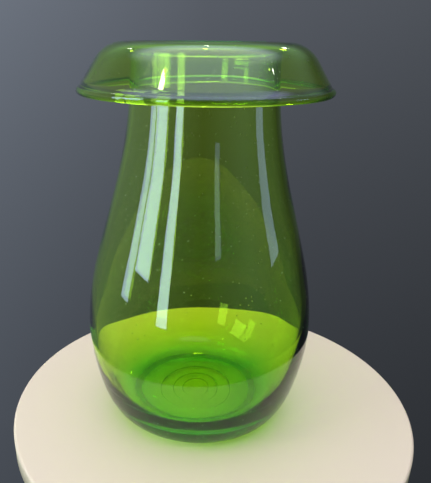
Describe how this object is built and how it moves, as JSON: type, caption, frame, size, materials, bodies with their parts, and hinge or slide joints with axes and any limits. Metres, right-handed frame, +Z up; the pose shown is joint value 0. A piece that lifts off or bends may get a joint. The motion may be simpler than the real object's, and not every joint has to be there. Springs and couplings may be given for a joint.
{
  "type": "vase",
  "caption": "Blown green glass vase with a heavy rounded base, a narrowing neck and a wide rim turned down over it.",
  "frame": {"origin": "centre of the foot, on the surface that the vase stands on", "axes": "+Z up along the axis of revolution; the glass is the same all round, so X and Y are free"},
  "size_m": [0.2383, 0.2384, 0.385],
  "materials": {
    "green_glass": "glossy, clear bottle-green glass tinted all through"
  },
  "bodies": {
    "root": {"thick_base": "green_glass", "blown_body": "green_glass", "neck": "green_glass", "turned_down_rim": "green_glass", "lip_bead": "green_glass"}
  },
  "joints": []
}
